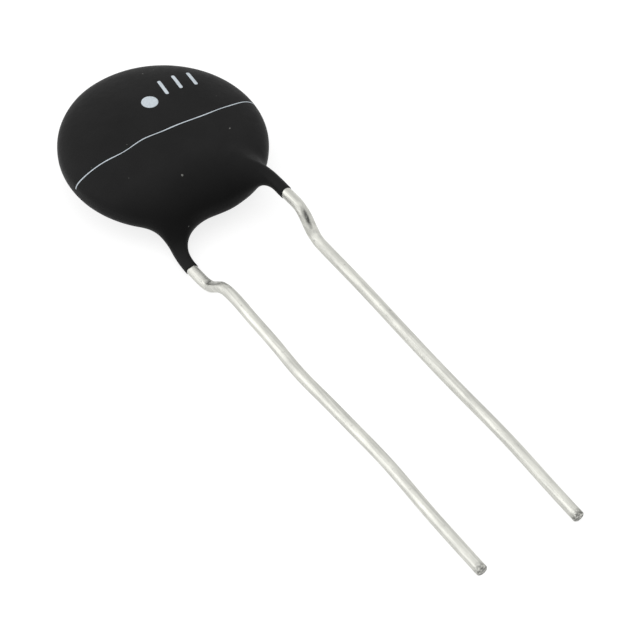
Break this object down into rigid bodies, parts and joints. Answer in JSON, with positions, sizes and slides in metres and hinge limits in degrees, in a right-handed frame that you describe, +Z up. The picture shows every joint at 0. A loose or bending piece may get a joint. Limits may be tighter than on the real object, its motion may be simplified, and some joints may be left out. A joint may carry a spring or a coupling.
{
  "type": "ntc thermistor",
  "caption": "Black dip-coated disc thermistor with two round, kinked, tinned leads on one side.",
  "frame": {"origin": "middle of the part's footprint, on the surface that it lies on", "axes": "+Z up, out of the printed face; +Y from the leads towards the disc; +X towards the front lead"},
  "size_m": [0.0144, 0.0482, 0.0047],
  "materials": {
    "coating": "smooth black dipped resin, satin",
    "ceramic": "sintered oxide ceramic, matt",
    "silver_film": "fired silver film, matt",
    "solder": "tin solder, bright",
    "tinned_wire": "tin-plated wire, bright with fine marks"
  },
  "bodies": {
    "root": {"coating": "coating", "ceramic_disc": "ceramic", "electrode_front": "silver_film", "electrode_back": "silver_film", "solder_front": "solder", "solder_back": "solder", "lead_front": "tinned_wire", "lead_back": "tinned_wire"}
  },
  "joints": []
}
